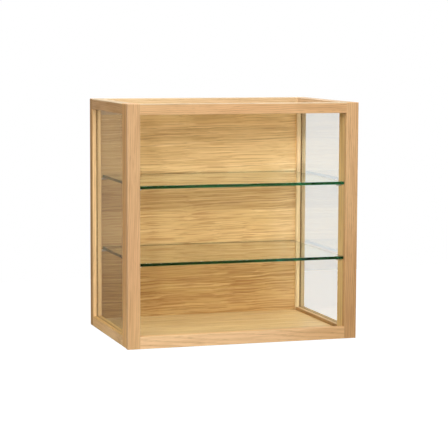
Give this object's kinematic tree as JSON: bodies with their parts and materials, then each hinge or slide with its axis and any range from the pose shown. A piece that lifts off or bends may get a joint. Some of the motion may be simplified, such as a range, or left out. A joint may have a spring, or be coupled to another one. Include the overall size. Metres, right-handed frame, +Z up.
{
  "type": "wall display cabinet",
  "caption": "Square wall display cabinet in oak with glazed sides, an open front, a recessed top and clear glass shelves that lift out through the front.",
  "frame": {"origin": "middle of the underside of the cabinet's bounding box", "axes": "+X to the right as seen from the front, +Y from the open front to the wall, +Z up"},
  "size_m": [0.5, 0.325, 0.5],
  "materials": {
    "oak": "clear matt oil, eased arrises",
    "oak_veneer": "crown-cut veneer, clear matt lacquer",
    "side_glass": "clear float",
    "shelf_glass": "clear float, arrised edges",
    "glazing_strip": "soft brown vinyl",
    "steel": "zinc plated",
    "soft_sleeve": "soft clear vinyl"
  },
  "bodies": {
    "cabinet": {"back_bottom_rail": "oak", "back_panel": "oak_veneer", "back_post_left": "oak", "back_post_right": "oak", "back_top_rail": "oak", "face_bottom_rail": "oak", "face_stile_left": "oak", "face_stile_right": "oak", "face_top_rail": "oak", "floor_panel": "oak_veneer", "front_post_left": "oak", "front_post_right": "oak", "glazing_strip_left": "glazing_strip", "glazing_strip_right": "glazing_strip", "hanger_plate_left": "steel", "hanger_plate_right": "steel", "hanger_screws": "steel", "shelf_pins_lower": "steel", "shelf_pins_upper": "steel", "shelf_sleeves_lower": "soft_sleeve", "shelf_sleeves_upper": "soft_sleeve", "side_bottom_rail_left": "oak", "side_bottom_rail_right": "oak", "side_glass_left": "side_glass", "side_glass_right": "side_glass", "side_top_rail_left": "oak", "side_top_rail_right": "oak", "top_panel": "oak_veneer"},
    "shelf_lower": {"shelf_lower": "shelf_glass"},
    "shelf_upper": {"shelf_upper": "shelf_glass"}
  },
  "joints": [
    {"name": "shelf_lower_slide", "type": "slide", "parent": "cabinet", "child": "shelf_lower", "axis": [0, -1, 0], "range_m": [0, 0.31]},
    {"name": "shelf_upper_slide", "type": "slide", "parent": "cabinet", "child": "shelf_upper", "axis": [0, -1, 0], "range_m": [0, 0.31]}
  ]
}
